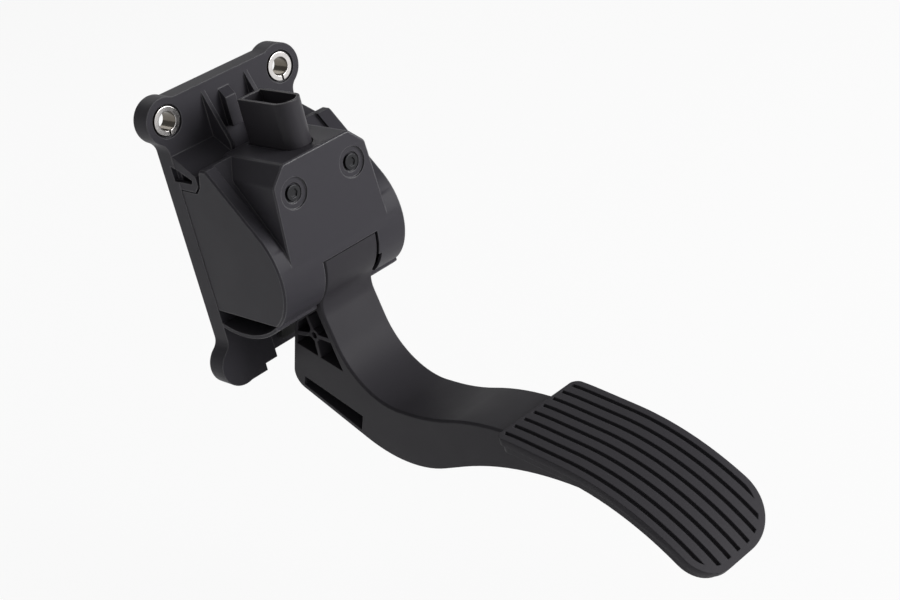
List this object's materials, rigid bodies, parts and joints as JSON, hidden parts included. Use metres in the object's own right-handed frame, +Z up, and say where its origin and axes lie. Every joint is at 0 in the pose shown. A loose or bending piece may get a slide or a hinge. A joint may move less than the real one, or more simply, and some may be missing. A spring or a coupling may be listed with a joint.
{
  "type": "accelerator pedal module with position sensor",
  "caption": "Hanging accelerator pedal: moulded bracket with bolt sleeves, drum housing with sensor and upright connector, curved sprung arm and ribbed tread pad.",
  "frame": {"origin": "on the mounting face, midway between the two upper bolt sleeves", "axes": "+X to the driver's right along the pivot, +Y into the bulkhead, +Z up"},
  "size_m": [0.0826, 0.253, 0.1732],
  "materials": {
    "bracket_plastic": "satin black glass-filled moulding",
    "housing_plastic": "satin black moulding with a fine grain",
    "connector_plastic": "smooth black moulding",
    "arm_plastic": "satin black moulding with a fine grain",
    "tread_rubber": "black moulded tread cover",
    "stop_rubber": "black rubber",
    "bush_plastic": "natural acetal",
    "sleeve_steel": "bright rolled steel",
    "axle_steel": "ground steel",
    "spring_steel": "oiled spring steel",
    "black_screw": "black zinc",
    "terminal_tin": "tinned blades",
    "board_laminate": "green laminate",
    "magnet_ferrite": "sintered magnet"
  },
  "bodies": {
    "bracket_unit": {"mounting_bracket": "bracket_plastic", "left_sleeve": "sleeve_steel", "right_sleeve": "sleeve_steel", "drum_housing": "housing_plastic", "panel_screws": "black_screw", "sensor_case": "connector_plastic", "sensor_cover": "connector_plastic", "circuit_board": "board_laminate", "terminal_blades": "terminal_tin", "case_seal": "stop_rubber", "pivot_axle": "axle_steel", "axle_cap": "housing_plastic", "outer_spring": "spring_steel", "inner_spring": "spring_steel", "spring_cap": "bush_plastic", "idle_stop": "stop_rubber", "full_travel_stop": "stop_rubber"},
    "pedal": {"pedal_arm": "arm_plastic", "tread_pad": "tread_rubber", "left_bush": "bush_plastic", "right_bush": "bush_plastic", "spring_cup": "bush_plastic", "magnet_carrier": "bush_plastic", "sensor_magnets": "magnet_ferrite"}
  },
  "joints": [
    {"name": "pedal_press", "type": "hinge", "parent": "bracket_unit", "child": "pedal", "pos_m": [0, -0.035, -0.0645], "axis": [1, 0, 0], "range_deg": [0, 13], "stiffness_Nm_per_rad": 6, "springref_deg": -28.65, "deforming": ["outer_spring", "inner_spring"]}
  ]
}
